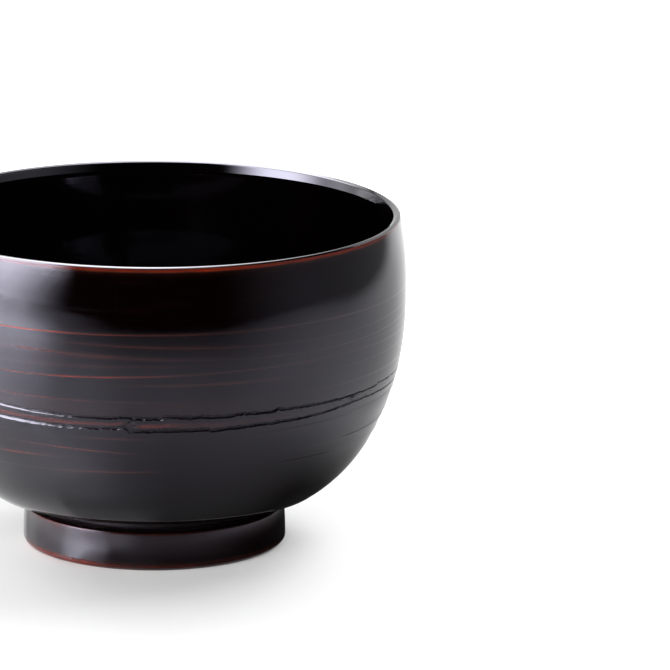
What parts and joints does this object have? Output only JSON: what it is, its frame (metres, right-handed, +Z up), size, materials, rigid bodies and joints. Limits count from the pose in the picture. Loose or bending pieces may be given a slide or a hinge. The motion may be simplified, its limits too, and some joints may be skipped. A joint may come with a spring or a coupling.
{
  "type": "soup bowl",
  "caption": "Round soup bowl in turned wood with a closed-in rim and a low foot ring, lacquered black inside and brown-black over red outside, with a pair of torn grooves round the wall.",
  "frame": {"origin": "centre of the ring that the foot stands on, on the floor", "axes": "+Z up along the lathe axis; the bowl is alike all round, and -Y is the side that the picture shows"},
  "size_m": [0.12, 0.12, 0.08],
  "materials": {
    "wood": "turned wood, closed in by the coats",
    "red_lacquer": "red lacquer, satin where it is bare",
    "brown_lacquer": "polished brown-black lacquer, red where it thins on edges",
    "black_lacquer": "polished black lacquer"
  },
  "bodies": {
    "root": {"wood_core": "wood", "red_undercoat": "red_lacquer", "outer_topcoat": "brown_lacquer", "inner_topcoat": "black_lacquer", "foot_well_coat": "black_lacquer"}
  },
  "joints": []
}
